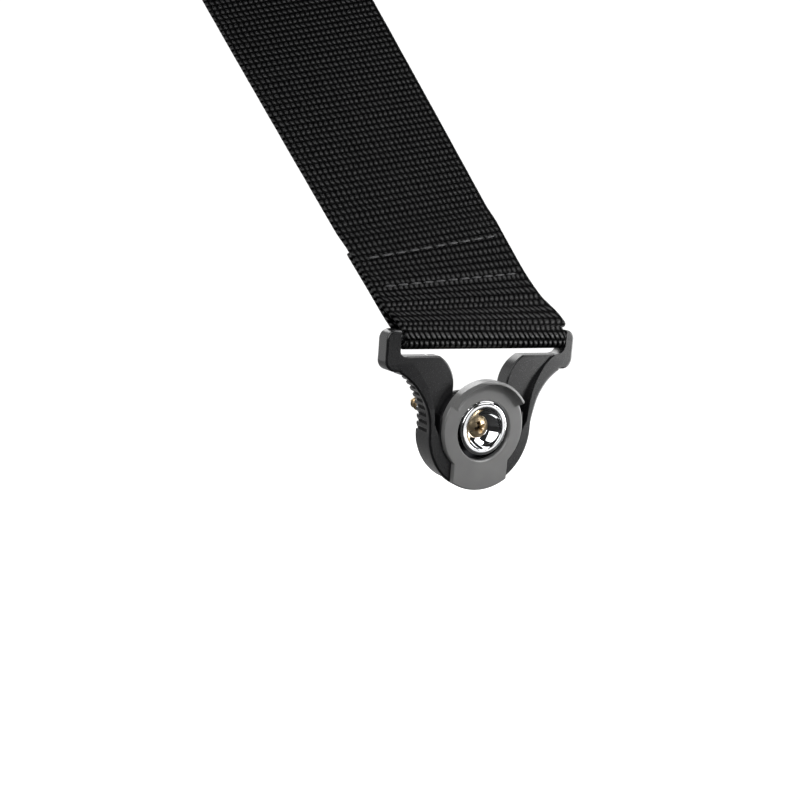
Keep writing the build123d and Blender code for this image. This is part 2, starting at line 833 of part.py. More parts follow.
with BuildPart() as webbing:
    with BuildSketch(section(0)):
        with Locations((loop_shift, lower_loop)):
            Rectangle(loop_width, webbing_thickness)
    across = section(0).x_dir
    revolve(axis=Axis(bar_centre, across), revolution_arc=-180)
    for side in (-1, 1):
        with BuildSketch(section(0, side * lower_loop), section(5, side * 1.35)):
            with Locations((loop_shift, 0)):
                Rectangle(loop_width, webbing_thickness)
        with BuildSketch(section(layers_meet, side * layer)):
            Rectangle(webbing_width, webbing_thickness)
        loft()
    with BuildSketch(section(layers_meet), section(21), section(lower_tail)):
        Rectangle(webbing_width, 2 * webbing_thickness)
    loft()
    with BuildSketch(section(lower_tail, -layer), section(lower_single), section(60), section(85)):
        Rectangle(webbing_width, webbing_thickness)
    loft()
    with BuildSketch(section(85), section(103), section(upper_single), section(upper_tail, -layer)):
        Rectangle(webbing_width, webbing_thickness)
    loft()
    with BuildSketch(section(upper_tail), section(layers_part)):
        Rectangle(webbing_width, 2 * webbing_thickness)
    loft()
    for side in (-1, 1):
        with BuildSketch(
            section(layers_part, side * layer),
            section(ring_run - 5, side * 1.6),
            section(ring_run, side * upper_loop),
        ):
            Rectangle(webbing_width, webbing_thickness)
        loft()
    with BuildSketch(section(ring_run)):
        with Locations((0, upper_loop)):
            Rectangle(webbing_width, webbing_thickness)
    revolve(axis=Axis(section(ring_run).origin, section(ring_run).x_dir), revolution_arc=180)
finish(webbing, "webbing")


def stitch_rows(rows):
    """Rows of stitches across the webbing, on its front and its back."""
    count = int((webbing_width - 3) / stitch_pitch)
    with BuildPart() as stitches:
        for along in rows:
            for side in (-1, 1):
                plane = section(along, side * (webbing_thickness + stitch_proud / 2))
                with Locations(plane):
                    with GridLocations(stitch_pitch, 1, count, 1):
                        Box(stitch_length, stitch_proud, stitch_width)
    return stitches


finish(stitch_rows(lower_rows), "lower_stitching")
finish(stitch_rows(upper_rows), "upper_stitching")

# Ring through the webbing's upper loop
ring_width = ring_inner_width + 2 * ring_wire
ring_height = ring_inner_height + 2 * ring_wire
ring_base = section(ring_run)
ring_plane = Plane(
    origin=ring_base.origin + ring_base.z_dir * ring_height / 2,
    x_dir=ring_base.x_dir,
    z_dir=ring_base.x_dir.cross(ring_base.z_dir),
)
with BuildSketch(ring_plane) as ring_face:
    RectangleRounded(ring_width, ring_height, ring_round)
ring_path = ring_face.sketch.face().outer_wire()
with BuildPart() as strap_ring:
    with BuildSketch(Plane(origin=ring_path @ 0, z_dir=ring_path % 0)):
        Circle(ring_wire)
    sweep(path=ring_path)
finish(strap_ring, "strap_ring")
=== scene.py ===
"""A self-locking strap end in black nylon, clipped over a dished chrome strap button.

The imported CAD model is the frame. Every piece here is in metres, in that frame: the origin
is on the button's axis in the guitar's face, +Y goes into the guitar, and +Z is up.
"""

import json
from math import atan2, ceil, cos, hypot, pi, radians, sin

import bmesh
import bpy
from mathutils import Matrix, Vector, noise


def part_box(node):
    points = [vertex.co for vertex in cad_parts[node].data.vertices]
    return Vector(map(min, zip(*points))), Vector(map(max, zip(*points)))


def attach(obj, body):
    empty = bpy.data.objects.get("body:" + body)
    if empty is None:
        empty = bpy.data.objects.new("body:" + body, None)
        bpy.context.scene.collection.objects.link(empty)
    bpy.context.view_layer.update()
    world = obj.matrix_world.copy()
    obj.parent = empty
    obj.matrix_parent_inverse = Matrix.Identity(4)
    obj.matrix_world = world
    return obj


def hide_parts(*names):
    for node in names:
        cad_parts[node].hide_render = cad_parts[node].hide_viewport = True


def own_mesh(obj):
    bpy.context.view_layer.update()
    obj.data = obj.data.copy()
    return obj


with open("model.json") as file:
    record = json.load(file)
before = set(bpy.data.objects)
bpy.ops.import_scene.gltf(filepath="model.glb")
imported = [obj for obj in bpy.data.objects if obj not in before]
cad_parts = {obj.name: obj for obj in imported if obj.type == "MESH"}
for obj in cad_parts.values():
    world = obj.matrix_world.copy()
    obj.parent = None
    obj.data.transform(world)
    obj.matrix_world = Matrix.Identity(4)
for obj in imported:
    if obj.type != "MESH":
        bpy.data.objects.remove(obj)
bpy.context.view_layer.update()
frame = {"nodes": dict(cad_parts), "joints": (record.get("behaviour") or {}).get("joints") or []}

# ---------------------------------------------------------------------------------------
# Front shell. The lock's body, moulded in black glass-filled nylon in one shot. It has a
# raised band round both arms, grip ribs on the flanks and the recess for the slide. The
# mould's spark-eroded surface leaves a fine matt grain, which thumbs polish on the edges.
# ---------------------------------------------------------------------------------------
mm = 0.001


def placed(name, data):
    """A new object in the scene, from a mesh, a light or a camera."""
    thing = bpy.data.objects.new(name, data)
    bpy.context.scene.collection.objects.link(thing)
    return thing


def skinned(name, skin, crease=None):
    """A smooth new object from a bmesh, sharp where faces meet at more than crease degrees."""
    mesh = bpy.data.meshes.new(name)
    skin.to_mesh(mesh)
    skin.free()
    mesh.shade_smooth()
    if crease:
        mesh.set_sharp_from_angle(angle=radians(crease))
    return placed(name, mesh)


def baked(piece):
    """Makes a piece's modifiers part of its mesh."""
    evaluated = piece.evaluated_get(bpy.context.evaluated_depsgraph_get())
    mesh = bpy.data.meshes.new_from_object(evaluated)
    mesh.name = piece.name
    piece.modifiers.clear()
    piece.data = mesh
    return piece


def dressed(part, name, edge):
    """A copy of a CAD node in one skin, with its corners broken by a small bevel.

    The bevel's faces carry 1 in the attribute "rub". Large flat faces stay flat beside it."""
    crease = 25
    weld = 0.002 * mm
    flatness = radians(0.6)
    skin = bmesh.new()
    skin.from_mesh(frame["nodes"][part].data)
    bmesh.ops.remove_doubles(skin, verts=skin.verts, dist=weld)
    bmesh.ops.recalc_face_normals(skin, faces=skin.faces)
    bmesh.ops.dissolve_limit(skin, angle_limit=flatness, verts=skin.verts, edges=skin.edges)
    rub = skin.faces.layers.float.new("rub")
    if edge:
        corners = [side for side in skin.edges if len(side.link_faces) == 2]
        corners = [side for side in corners if side.calc_face_angle() > radians(crease)]
        broken = bmesh.ops.bevel(
            skin,
            geom=corners,
            offset=edge,
            offset_type="OFFSET",
            segments=2,
            profile=0.5,
            affect="EDGES",
            clamp_overlap=True,
        )
        for face in broken["faces"]:
            face[rub] = 1
    piece = skinned(name, skin, crease)
    even = piece.modifiers.new("even", "WEIGHTED_NORMAL")
    even.keep_sharp = True
    return baked(piece)


def finished(piece, material, body, slot, *nodes):
    """Gives a piece its material and its body, and hides the CAD nodes it stands for. The slot is
    not used.
    """
    piece.data.materials.clear()
    piece.data.materials.append(material)
    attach(piece, body)
    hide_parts(*nodes)
    return piece


def node(tree, kind, *feeds, **settings):
    """Adds a shader or geometry node. Each feed is a value or an output for a socket in turn."""
    made = tree.nodes.new(kind)
    for setting, value in settings.items():
        setattr(made, setting, value)
    for socket, feed in zip([socket for socket in made.inputs if socket.enabled], feeds):
        join(tree, feed, socket)
    return made


def join(tree, feed, socket):
    """Links an output to a socket, or sets the socket's value."""
    if isinstance(feed, bpy.types.NodeSocket):
        tree.links.new(feed, socket)
    else:
        socket.default_value = feed


def calc(tree, operation, *feeds):
    """The output of a Math node."""
    return node(tree, "ShaderNodeMath", *feeds, operation=operation).outputs[0]


def mapped(tree, feed, *limits):
    """A feed taken from the range of the first two limits to the range of the last two."""
    return node(tree, "ShaderNodeMapRange", feed, *limits).outputs[0]


def blended(tree, share, first, second):
    """A mix of two colours, with the second one by its share."""
    mix = node(tree, "ShaderNodeMix", data_type="RGBA")
    join(tree, share, mix.inputs["Factor"])
    join(tree, first, mix.inputs[6])
    join(tree, second, mix.inputs[7])
    return mix.outputs[2]


def noise_texture(tree, place, scale, detail, dimensions="3D", **others):
    """The value of a Noise Texture at a place. The others are for its other sockets."""
    texture = node(tree, "ShaderNodeTexNoise", place, noise_dimensions=dimensions)
    for label, feed in {"Scale": scale, "Detail": detail, **others}.items():
        join(tree, feed, texture.inputs[label])
    return texture.outputs["Fac"]


def raised(tree, shader, height, strength, distance):
    """Bumps a shader's surface by a height, for relief that is too fine for the mesh."""
    bump = node(tree, "ShaderNodeBump")
    join(tree, strength, bump.inputs["Strength"])
    join(tree, distance, bump.inputs["Distance"])
    join(tree, height, bump.inputs["Height"])
    join(tree, bump.outputs["Normal"], shader.inputs["Normal"])


def blank_material(name):
    """A new material, with its node tree and its Principled shader."""
    material = bpy.data.materials.new(name)
    material.use_nodes = True
    return material, material.node_tree, material.node_tree.nodes["Principled BSDF"]


def blank_group(name, inputs, outputs):
    """A shader node group and the sockets inside it. The inputs are numbers with defaults."""
    group = bpy.data.node_groups.new(name, "ShaderNodeTree")
    number = "NodeSocketFloat"
    for label, value in inputs.items():
        socket = group.interface.new_socket(label, in_out="INPUT", socket_type=number)
        socket.default_value = value
    for label in outputs:
        group.interface.new_socket(label, in_out="OUTPUT", socket_type=number)
    given = group.nodes.new("NodeGroupInput").outputs
    return group, given, group.nodes.new("NodeGroupOutput").inputs


# Spark-eroded grain: fine pits, a slow mottle, and thumb polish on rubbed corners
moulded, given, out = blank_group(
    "moulded_grain", {"Pit size mm": 0.25, "Mottle size mm": 6.0}, ("Height", "Mottle", "Rub")
)
place = node(moulded, "ShaderNodeTexCoord").outputs["Object"]
pit_scale = calc(moulded, "DIVIDE", 1 / mm, given["Pit size mm"])
pits = noise_texture(moulded, place, pit_scale, 4.0, Roughness=0.6)
mottle_scale = calc(moulded, "DIVIDE", 1 / mm, given["Mottle size mm"])
mottle = noise_texture(moulded, place, mottle_scale, 3.0)
rubbed = node(moulded, "ShaderNodeAttribute", attribute_name="rub").outputs["Fac"]
patches = mapped(moulded, mottle, 0.35, 0.65, 0.35, 1.0)
join(moulded, pits, out["Height"])
join(moulded, mottle, out["Mottle"])
join(moulded, calc(moulded, "MULTIPLY", rubbed, patches), out["Rub"])


def moulded_plastic(name, dark, light, rubbed, roughness, polish, pit, relief):
    """Matt moulded plastic: a mottle between two colours, corners rubbed to a third."""
    material, tree, shader = blank_material(name)
    grain = node(tree, "ShaderNodeGroup", node_tree=moulded)
    grain.inputs["Pit size mm"].default_value = pit
    spread = mapped(tree, grain.outputs["Mottle"], 0.3, 0.7, 0.0, 1.0)
    body = blended(tree, spread, (*dark, 1), (*light, 1))
    worn = blended(tree, grain.outputs["Rub"], body, (*rubbed, 1))
    join(tree, worn, shader.inputs["Base Color"])
    matt = mapped(tree, grain.outputs["Height"], 0.3, 0.7, roughness - 0.02, roughness + 0.02)
    gloss = mapped(tree, grain.outputs["Rub"], 0.0, 1.0, 0.0, -polish)
    join(tree, calc(tree, "ADD", matt, gloss), shader.inputs["Roughness"])
    raised(tree, shader, grain.outputs["Height"], 0.35, relief * mm)
    return material


black_nylon = moulded_plastic(
    "black_nylon",
    dark=(0.0045, 0.0045, 0.005),
    light=(0.0075, 0.0075, 0.0082),
    rubbed=(0.02, 0.02, 0.022),
    roughness=0.26,
    polish=0.05,
    pit=0.22,
    relief=0.006,
)
front_shell = dressed("front_shell", "front_shell_moulding", 0.14 * mm)
finished(front_shell, black_nylon, "lock", "nylon_black", "front_shell")

# ---------------------------------------------------------------------------------------
# Rear cover. A thin plate moulded in the same black nylon. It closes the cavity and traps
# the strap bar, and four zinc-plated pan-head screws hold it from behind.
# ---------------------------------------------------------------------------------------
rear_cover = dressed("rear_cover", "rear_cover_moulding", 0.12 * mm)
finished(rear_cover, black_nylon, "lock", "nylon_black", "rear_cover")

# Metal that was ground, tumbled or drawn: fine scratches, a slow tarnish and pale edges
metalwork, given, out = blank_group(
    "worked_metal",
    {"Scratch size mm": 0.12, "Stretch X": 1.0, "Stretch Y": 1.0, "Stretch Z": 1.0},
    ("Height", "Tarnish", "Rub", "Recess_shade"),
)
place = node(metalwork, "ShaderNodeTexCoord").outputs["Object"]
stretches = [given[f"Stretch {axis}"] for axis in "XYZ"]
stretch = node(metalwork, "ShaderNodeCombineXYZ", *stretches).outputs[0]
drawn = node(metalwork, "ShaderNodeVectorMath", place, stretch, operation="MULTIPLY").outputs[0]
scratch_scale = calc(metalwork, "DIVIDE", 1 / mm, given["Scratch size mm"])
join(metalwork, noise_texture(metalwork, drawn, scratch_scale, 3.0), out["Height"])
join(metalwork, noise_texture(metalwork, place, 0.45 / mm, 4.0), out["Tarnish"])
# The second mark is painted shade for the floors of cross recesses.
for mark in ("rub", "recess_shade"):
    marked = node(metalwork, "ShaderNodeAttribute", attribute_name=mark).outputs["Fac"]
    join(metalwork, marked, out[mark.capitalize()])


def worked_metal(name, bright, dull, roughness, spread, scratch, relief, stretch=(1, 1, 1)):
    """Metal whose tarnish goes between a bright and a dull colour, with painted shade in recesses.
    """
    material, tree, shader = blank_material(name)
    shader.inputs["Metallic"].default_value = 1.0
    finish = node(tree, "ShaderNodeGroup", node_tree=metalwork)
    finish.inputs["Scratch size mm"].default_value = scratch
    for axis, value in zip("XYZ", stretch):
        finish.inputs[f"Stretch {axis}"].default_value = value
    share = mapped(tree, finish.outputs["Tarnish"], 0.35, 0.65, 0.0, 1.0)
    kept = calc(tree, "MULTIPLY", share, calc(tree, "SUBTRACT", 1.0, finish.outputs["Rub"]))
    colour = blended(tree, kept, (*bright, 1), (*dull, 1))
    # Painted shade: a near-black brown darkens the marked recess floors.
    recess_shaded = blended(tree, finish.outputs["Recess_shade"], colour, (0.035, 0.026, 0.018, 1))
    join(tree, recess_shaded, shader.inputs["Base Color"])
    matt = mapped(tree, finish.outputs["Tarnish"], 0.3, 0.7, roughness, roughness + spread)
    join(tree, matt, shader.inputs["Roughness"])
    raised(tree, shader, finish.outputs["Height"], 0.3, relief * mm)
    return material


def cross_punched(piece, places, face, depth, wide, narrow, turn):
    """Cuts a tapering cross recess at each (x, z) place, from a face at the height face.

    Wide and narrow are the half length and half width of the cross's arms at the face and
    at the floor. The floor's corners carry a mark that paints shade into the recess."""
    lead_in = 0.15 * depth
    punch = bmesh.new()
    for x, z in places:
        for quarter in (turn, turn + pi / 2):
            for corner in bmesh.ops.create_cube(punch, size=1)["verts"]:
                inside = (corner.co.y > 0) == (depth > 0)
                half_length, half_width = narrow if inside else wide
                spot = Vector((
                    half_length * (1 if corner.co.x > 0 else -1),
                    face + (depth if inside else -lead_in),
                    half_width * (1 if corner.co.z > 0 else -1),
                ))
                corner.co = (Matrix.Rotation(-quarter, 3, "Y") @ spot + Vector((x, 0, z))) * mm
    bmesh.ops.recalc_face_normals(punch, faces=punch.faces)
    tool = placed("recess_punch", bpy.data.meshes.new("recess_punch"))
    punch.to_mesh(tool.data)
    punch.free()
    cut = piece.modifiers.new("recess", "BOOLEAN")
    cut.operation = "DIFFERENCE"
    cut.solver = "EXACT"
    cut.use_self = True
    cut.object = tool
    baked(piece)
    bpy.data.objects.remove(tool)
    # Painted shade: points on the recess floor are marked to be darkened.
    recess_shade = piece.data.attributes.new("recess_shade", "FLOAT", "POINT")
    for vertex in piece.data.vertices:
        x, height, z = vertex.co / mm
        middle = min(hypot(x - across, z - up) for across, up in places)
        if middle < wide[0] and abs(height - face - depth) < 0.02:
            recess_shade.data[vertex.index].value = 0.92
    return piece


zinc_plate = worked_metal(
    "zinc_plate",
    bright=(0.62, 0.64, 0.66),
    dull=(0.42, 0.43, 0.45),
    roughness=0.24,
    spread=0.16,
    scratch=0.15,
    relief=0.01,
)
for name, title, places in (
    ("hub_screws", "hub_cover_screws", ((5.0, -11.0), (-5.0, -11.0))),
    ("arm_screws", "arm_cover_screws", ((15.6, 13.0), (-15.6, 13.0))),
):
    screws = dressed(name, title, 0.06 * mm)
    cross_punched(
        screws,
        places,
        face=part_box(name)[1].y / mm,
        depth=-0.45,
        wide=(0.85, 0.2),
        narrow=(0.3, 0.12),
        turn=radians(28),
    )
    finished(screws, zinc_plate, "lock", "zinc_steel", name)

# ---------------------------------------------------------------------------------------
# Strap bar. A plain zinc-plated steel pin across the ears, with chamfered ends. The
# webbing is sewn round it, and the cover closes the pockets that it lies in.
# ---------------------------------------------------------------------------------------
drawn_zinc = worked_metal(
    "drawn_zinc",
    bright=(0.6, 0.61, 0.63),
    dull=(0.4, 0.41, 0.43),
    roughness=0.22,
    spread=0.14,
    scratch=0.1,
    relief=0.012,
    stretch=(0.08, 1, 1),
)
strap_bar = dressed("strap_bar", "strap_bar_pin", 0)
finished(strap_bar, drawn_zinc, "lock", "zinc_steel", "strap_bar")

# ---------------------------------------------------------------------------------------
# Neck plate. Stamped from steel sheet, so its faces keep the rolling marks and its edges are
# tumbled. Its near-black colour is painted shade for the dark gap round the button's head.
# Two rivets hold it behind the recess.
# ---------------------------------------------------------------------------------------
# Painted shade: the plate's steel is coloured near-black.
blackened_steel = worked_metal(
    "blackened_steel",
    bright=(0.05, 0.05, 0.053),
    dull=(0.022, 0.022, 0.024),
    roughness=0.3,
    spread=0.14,
    scratch=0.12,
    relief=0.012,
    stretch=(1, 1, 0.07),
)
neck_plate = dressed("neck_plate", "neck_plate_stamping", 0.1 * mm)
finished(neck_plate, blackened_steel, "lock", "plate_steel", "neck_plate")
plate_rivets = dressed("plate_rivets", "neck_plate_rivets", 0.08 * mm)
finished(plate_rivets, zinc_plate, "lock", "zinc_steel", "plate_rivets")

# ---------------------------------------------------------------------------------------
# Return springs. Two compression springs of drawn spring wire, each on its own guide pin.
# They seat in the shell's channels and push the slide down over the button's neck.
# ---------------------------------------------------------------------------------------
spring_pins = dressed("spring_pins", "spring_guide_pins", 0)
finished(spring_pins, drawn_zinc, "lock", "zinc_steel", "spring_pins")


def blank_tree(name, inputs):
    """A Geometry Nodes tree with named inputs after its geometry, and their sockets in it."""
    tree = bpy.data.node_groups.new(name, "GeometryNodeTree")
    for label, kind in {"Geometry": "Geometry", **inputs}.items():
        tree.interface.new_socket(label, in_out="INPUT", socket_type=f"NodeSocket{kind}")
    tree.interface.new_socket("Geometry", in_out="OUTPUT", socket_type="NodeSocketGeometry")
    return tree, tree.nodes.new("NodeGroupInput").outputs


def wire_along(tree, curve, radius, sides):
    """The mesh of a round wire along a curve, closed at any ends."""
    section = node(tree, "GeometryNodeCurvePrimitiveCircle")
    join(tree, sides, section.inputs["Resolution"])
    join(tree, radius, section.inputs["Radius"])
    wire = node(tree, "GeometryNodeCurveToMesh", curve, section.outputs["Curve"])
    join(tree, True, wire.inputs["Fill Caps"])
    return wire.outputs["Mesh"]


def ended(tree, geometry, material):
    """Ends a Geometry Nodes tree: its instances are made real and get a material."""
    real = node(tree, "GeometryNodeRealizeInstances", geometry)
    coated = node(tree, "GeometryNodeSetMaterial", real.outputs["Geometry"])
    join(tree, material, coated.inputs["Material"])
    end = tree.nodes.new("NodeGroupOutput")
    join(tree, coated.outputs["Geometry"], end.inputs["Geometry"])


def grown(name, tree, mesh=None, **values):
    """A new piece that a Geometry Nodes tree makes from its named inputs."""
    piece = placed(name, mesh or bpy.data.meshes.new(name))
    grower = piece.modifiers.new("grower", "NODES")
    grower.node_group = tree
    for socket in tree.interface.items_tree:
        key = socket.name.replace(" ", "_")
        if socket.in_out == "INPUT" and key in values:
            grower[socket.identifier] = values[key]
    baked(piece)
    piece.data.shade_smooth()
    piece.data.set_sharp_from_angle(angle=radians(50))
    return piece


coil_inputs = {
    "Foot": "Vector",
    "Length": "Float",
    "Coil radius": "Float",
    "Wire radius": "Float",
    "Coils": "Float",
    "Wire": "Material",
}
coil, given = blank_tree("compression_spring", coil_inputs)
spiral = node(coil, "GeometryNodeCurveSpiral")
join(coil, 28, spiral.inputs["Resolution"])
join(coil, given["Coils"], spiral.inputs["Rotations"])
join(coil, given["Coil radius"], spiral.inputs["Start Radius"])
join(coil, given["Coil radius"], spiral.inputs["End Radius"])
join(coil, given["Length"], spiral.inputs["Height"])
coiled = wire_along(coil, spiral.outputs["Curve"], given["Wire radius"], 10)
lifted = node(coil, "GeometryNodeTransform", coiled)
join(coil, given["Foot"], lifted.inputs["Translation"])
ended(coil, lifted.outputs["Geometry"], given["Wire"])

spring_steel = worked_metal(
    "spring_steel",
    bright=(0.5, 0.51, 0.53),
    dull=(0.3, 0.31, 0.33),
    roughness=0.25,
    spread=0.15,
    scratch=0.08,
    relief=0.005,
)
spring_wire = 0.13 * mm
for side in ("left", "right"):
    low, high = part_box(f"{side}_spring")
    middle = (low + high) / 2
    spring = grown(
        f"{side}_return_spring",
        coil,
        Foot=(middle.x, middle.y, low.z + spring_wire),
        Length=high.z - low.z - 2 * spring_wire,
        Coil_radius=(high.x - low.x) / 2 - spring_wire,
        Wire_radius=spring_wire,
        Coils=8.0,
        Wire=spring_steel,
    )
    finished(spring, spring_steel, "lock", "spring_steel", f"{side}_spring")
    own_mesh(spring)

# ---------------------------------------------------------------------------------------
# Thumb slide. Moulded in dark grey nylon, with a crescent lip for the thumb, a tongue at
# the bottom edge and a round hole for the button's head. Its mark is left blank.
# ---------------------------------------------------------------------------------------
grey_nylon = moulded_plastic(
    "grey_nylon",
    dark=(0.112, 0.112, 0.112),
    light=(0.134, 0.134, 0.132),
    rubbed=(0.2, 0.2, 0.2),
    roughness=0.3,
    polish=0.06,
    pit=0.2,
    relief=0.006,
)
thumb_slide = dressed("thumb_slide", "thumb_slide_moulding", 0.1 * mm)
finished(thumb_slide, grey_nylon, "slide", "slide_grey", "thumb_slide")

# ---------------------------------------------------------------------------------------
# Slide carrier. A U of the same grey nylon behind the neck plate, held to the slide's two
# legs by small screws. The springs press on the tops of its arms.
# ---------------------------------------------------------------------------------------
slide_carrier = dressed("slide_carrier", "slide_carrier_moulding", 0.1 * mm)
finished(slide_carrier, grey_nylon, "slide", "slide_grey", "slide_carrier")
carrier_screws = dressed("carrier_screws", "slide_carrier_screws", 0.04 * mm)
finished(carrier_screws, zinc_plate, "slide", "zinc_steel", "carrier_screws")

# ---------------------------------------------------------------------------------------
# Strap button. Turned from steel bar and chrome-plated: a flange on the washer, a waisted
# neck, and a head that flares to a bright rim round a deep polished dish for the screw.
# ---------------------------------------------------------------------------------------


def arc(first, through, last, steps):
    """Points on the arc through three points of a turned profile, without the last."""
    (ax, ay), (bx, by), (cx, cy) = first, through, last
    span = 2 * (ax * (by - cy) + bx * (cy - ay) + cx * (ay - by))
    a2, b2, c2 = ax * ax + ay * ay, bx * bx + by * by, cx * cx + cy * cy
    x = (a2 * (by - cy) + b2 * (cy - ay) + c2 * (ay - by)) / span
    y = (a2 * (cx - bx) + b2 * (ax - cx) + c2 * (bx - ax)) / span
    radius = ((ax - x) ** 2 + (ay - y) ** 2) ** 0.5
    start, middle, end = (atan2(py - y, px - x) for px, py in (first, through, last))
    sweep = (end - start) % (2 * pi)
    if (middle - start) % (2 * pi) > sweep:
        sweep -= 2 * pi
    turns = [start + sweep * step / steps for step in range(steps)]
    return [(x + radius * cos(turn), y + radius * sin(turn)) for turn in turns]


def turned(name, profile, sides, closed=True):
    """A piece turned about the button's axis from (radius, height) points in millimetres.

    A closed profile goes on from its last point to its first. An open one starts and ends
    on the axis."""
    skin = bmesh.new()
    turns = [2 * pi * side / sides for side in range(sides)]
    rings = []
    for radius, height in profile:
        reach = radius * mm
        spots = [(reach * cos(turn), -height * mm, reach * sin(turn)) for turn in turns]
        if radius == 0:
            spots = [(0, -height * mm, 0)]
        rings.append([skin.verts.new(spot) for spot in spots])
    for one, two in zip(rings, rings[1:] + (rings[:1] if closed else [])):
        for side in range(sides):
            after = (side + 1) % sides
            corners = [
                one[side % len(one)],
                one[after % len(one)],
                two[after % len(two)],
                two[side % len(two)],
            ]
            skin.faces.new(list(dict.fromkeys(corners)))
    bmesh.ops.recalc_face_normals(skin, faces=skin.faces)
    return skinned(name, skin, crease=35)


head_radius = 6.7
head_top = 13.2
rim_round = 0.3
dish_radius = 5.35
dish_edge = dish_radius - 0.05
seat_radius = 2.9
seat_top = 10.4
bore_radius = 2.15
bore_top = 9.65
bore_edge = 0.1
neck_radius = 3.9
flange_radius = 6.2
flange_top = 2.7
flange_round = 0.5
washer_top = 1.5
bore = [
    (bore_radius, bore_top - bore_edge),
    (bore_radius, washer_top + bore_edge),
    (bore_radius + bore_edge, washer_top),
]
flange = [
    (flange_radius - 0.1, washer_top),
    (flange_radius, washer_top + 0.1),
    *arc(
        (flange_radius, flange_top - flange_round),
        (flange_radius - 0.15, flange_top - 0.15),
        (flange_radius - flange_round, flange_top),
        6,
    ),
]
neck = [
    *arc(
        (flange_radius - flange_round, flange_top),
        (neck_radius + 0.5, 3.3),
        (neck_radius, 4.6),
        14,
    ),
    *arc((neck_radius, 10.0), (5.08, 11.43), (head_radius, 12.3), 18),
]
rim = [
    (head_radius, 12.35),
    *arc(
        (head_radius, head_top - rim_round),
        (head_radius - 0.09, head_top - 0.09),
        (head_radius - rim_round, head_top),
        6,
    ),
    (head_radius - rim_round, head_top),
]
dish = [
    *arc(
        (dish_radius + 0.12, head_top),
        (dish_radius + 0.02, head_top - 0.03),
        (dish_edge, head_top - 0.1),
        4,
    ),
    *arc((dish_edge, head_top - 0.1), (4.32, 11.5), (seat_radius, seat_top), 26),
    (seat_radius, seat_top),
    (bore_radius + bore_edge, bore_top),
]
chrome = worked_metal(
    "chrome_plate",
    bright=(0.78, 0.78, 0.79),
    dull=(0.66, 0.67, 0.68),
    roughness=0.045,
    spread=0.05,
    scratch=0.4,
    relief=0.003,
)
strap_button = turned("strap_button_turning", bore + flange + neck + rim + dish, 144)
finished(strap_button, chrome, "button", "button_chrome", "strap_button")

# ---------------------------------------------------------------------------------------
# Button screw. A brass-plated wood screw with an oval head, a cross recess, and a coarse
# thread cut into its shank down to a gimlet point. It bites 20 mm into the guitar.
# ---------------------------------------------------------------------------------------
screw_top = 11.2
core_radius = 1.4
taper_start = 20.0
screw_profile = [
    (0, screw_top),
    *arc((0.001, screw_top), (1.5675, 10.96), (2.85, 10.35), 14)[1:],
    (2.85, 10.35),
    (2.8, 10.27),
    (2.1, 9.6),
    (2.1, 0.2),
    (1.95, 0.0),
    (1.45, -0.6),
    (core_radius, -taper_start),
    (0.9, -22.0),
    (0, -24.0),
]
button_screw = turned("button_screw_core", screw_profile, 64, closed=False)
cross_punched(
    button_screw,
    ((0, 0),),
    face=-screw_top,
    depth=1.3,
    wide=(2.05, 0.6),
    narrow=(0.7, 0.3),
    turn=radians(20),
)

# The thread: a sharp ridge that winds from under the guitar's face to the point. It rises
# over its first steps and sinks over its last ones.
thread_pitch = 1.75
thread_start = 0.8
thread_end = 22.6
ridge_rise = 0.5
ridge_crest = 0.03
ridge_foot = 0.42
ridge_root = 0.15
steps_per_turn = 36
steps_in = 20
steps_out = 30
steps = ceil(steps_per_turn * (thread_end - thread_start) / thread_pitch)
thread_skin = bmesh.new()
thread_skin.from_mesh(button_screw.data)
before = None
for step in range(steps + 1):
    depth = thread_start + step * thread_pitch / steps_per_turn
    turn = 2 * pi * step / steps_per_turn
    core = max(core_radius - 0.25 * max(depth - taper_start, 0), 0.6)
    crest = core + ridge_rise * min(1, step / steps_in, (steps - step) / steps_out + 0.05)
    spoke = Vector((cos(turn), 0, sin(turn))) * mm
    ridge = [
        thread_skin.verts.new(spoke * radius + Vector((0, (depth + aside) * mm, 0)))
        for radius, aside in (
            (core - ridge_root, -ridge_foot),
            (crest, -ridge_crest),
            (crest, ridge_crest),
            (core - ridge_root, ridge_foot),
        )
    ]
    if before:
        for corner in range(4):
            after = (corner + 1) % 4
            thread_skin.faces.new([before[corner], before[after], ridge[after], ridge[corner]])
    else:
        thread_skin.faces.new(ridge[::-1])
    before = ridge
thread_skin.faces.new(before)
bmesh.ops.recalc_face_normals(thread_skin, faces=thread_skin.faces)
thread_skin.to_mesh(button_screw.data)
thread_skin.free()
button_screw.data.shade_smooth()
button_screw.data.set_sharp_from_angle(angle=radians(30))
brass = worked_metal(
    "brass_plate",
    bright=(0.86, 0.7, 0.47),
    dull=(0.66, 0.51, 0.32),
    roughness=0.26,
    spread=0.14,
    scratch=0.12,
    relief=0.01,
)
finished(button_screw, brass, "button", "screw_brass", "button_screw")

# ---------------------------------------------------------------------------------------
# Felt washer. Punched from pressed black wool felt. It sits under the button's flange and
# keeps the chrome off the guitar's finish, and its cut edge has gone fuzzy.
# ---------------------------------------------------------------------------------------


def toned(tree, feed, dark, light, low=0.0, high=1.0):
    """A colour that goes from dark to light as its feed goes from low to high."""
    ramp = node(tree, "ShaderNodeValToRGB", feed)
    for stop, position, colour in zip(ramp.color_ramp.elements, (low, high), (dark, light)):
        stop.position = position
        stop.color = (*colour, 1)
    return ramp.outputs["Color"]


